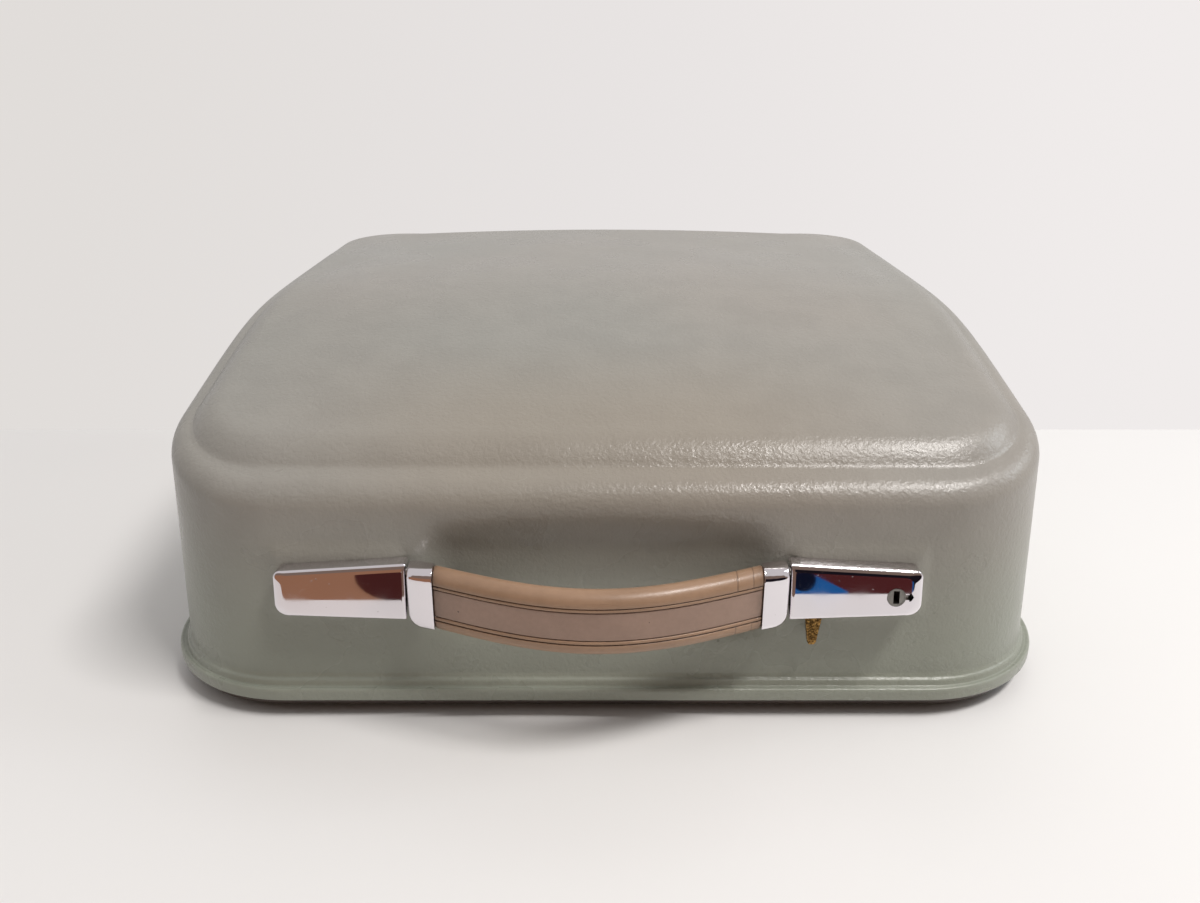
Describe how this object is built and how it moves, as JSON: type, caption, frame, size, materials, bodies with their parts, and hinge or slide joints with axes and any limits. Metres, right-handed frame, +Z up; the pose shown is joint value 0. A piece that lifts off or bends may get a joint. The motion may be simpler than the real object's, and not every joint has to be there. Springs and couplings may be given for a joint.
{
  "type": "portable typewriter case",
  "caption": "Low carrying case for a portable typewriter: a moulded cover hinged to a metal base, with a bowed handle, a sliding latch and a key lock.",
  "frame": {"origin": "on the table under the middle of the whole object's bounding box", "axes": "+Z up, +X to the right seen from the handle, +Y from the handle to the hinges"},
  "size_m": [0.375, 0.3842, 0.1548],
  "materials": {
    "shell_moulding": "grey-green moulded shell with a fine pebbled grain and a soft sheen",
    "chrome": "bright chrome plate with a few fine pits",
    "plated_steel": "dull zinc-plated steel",
    "grip_plastic": "tan moulded plastic, rubbed smooth",
    "worn_brass": "brass with most of its plating worn off",
    "dark_enamel": "dark brown baked enamel",
    "foot_rubber": "black rubber"
  },
  "bodies": {
    "base": {"base_pan": "dark_enamel", "base_rim": "dark_enamel", "base_feet": "foot_rubber", "foot_screws": "plated_steel", "hinge_bracket_left": "plated_steel", "hinge_bracket_right": "plated_steel", "hinge_pins": "plated_steel", "bracket_rivets": "plated_steel", "catch_bracket_left": "plated_steel", "catch_bracket_right": "plated_steel", "catch_studs": "plated_steel", "machine_pads": "foot_rubber", "machine_studs": "plated_steel", "clip_bracket_left": "plated_steel", "clip_bracket_right": "plated_steel", "clip_pins": "plated_steel"},
    "cover": {"cover_shell": "shell_moulding", "hinge_leaf_left": "plated_steel", "hinge_leaf_right": "plated_steel", "hinge_rivets": "plated_steel", "handle_plate_left": "chrome", "lock_plate": "chrome", "plate_studs": "plated_steel", "carrier_spacers": "plated_steel", "latch_carrier": "plated_steel", "carrier_nuts": "plated_steel", "bar_guides": "plated_steel", "detent_spring": "plated_steel", "lock_barrel": "plated_steel", "handle_pins": "plated_steel"},
    "handle": {"handle_grip": "grip_plastic", "handle_strap": "plated_steel", "ferrule_left": "chrome", "ferrule_right": "chrome"},
    "latch": {"latch_bar": "plated_steel", "release_tab": "worn_brass", "tab_rivets": "worn_brass"},
    "lock": {"lock_plug": "plated_steel", "lock_cam": "plated_steel", "cam_screw": "plated_steel"},
    "left_clip": {"clip_left": "plated_steel"},
    "right_clip": {"clip_right": "plated_steel"}
  },
  "joints": [
    {"name": "cover_hinge", "type": "hinge", "parent": "base", "child": "cover", "pos_m": [0, 0.1889, 0.008], "axis": [-1, 0, 0], "range_deg": [0, 95]},
    {"name": "handle_swing", "type": "hinge", "parent": "cover", "child": "handle", "pos_m": [0, -0.16245, 0.0645], "axis": [-1, 0, 0], "range_deg": [0, 80]},
    {"name": "latch_slide", "type": "slide", "parent": "cover", "child": "latch", "axis": [1, 0, 0], "range_m": [0, 0.006]},
    {"name": "lock_turn", "type": "hinge", "parent": "cover", "child": "lock", "pos_m": [0.1088, -0.16684, 0.0558], "axis": [0, 0.9907, -0.1357], "range_deg": [0, 90]},
    {"name": "left_clip_lift", "type": "hinge", "parent": "base", "child": "left_clip", "pos_m": [-0.045, -0.1181, 0.0087], "axis": [1, 0, 0], "range_deg": [0, 95]},
    {"name": "right_clip_lift", "type": "hinge", "parent": "base", "child": "right_clip", "pos_m": [0.045, -0.1181, 0.0087], "axis": [1, 0, 0], "range_deg": [0, 95]}
  ]
}
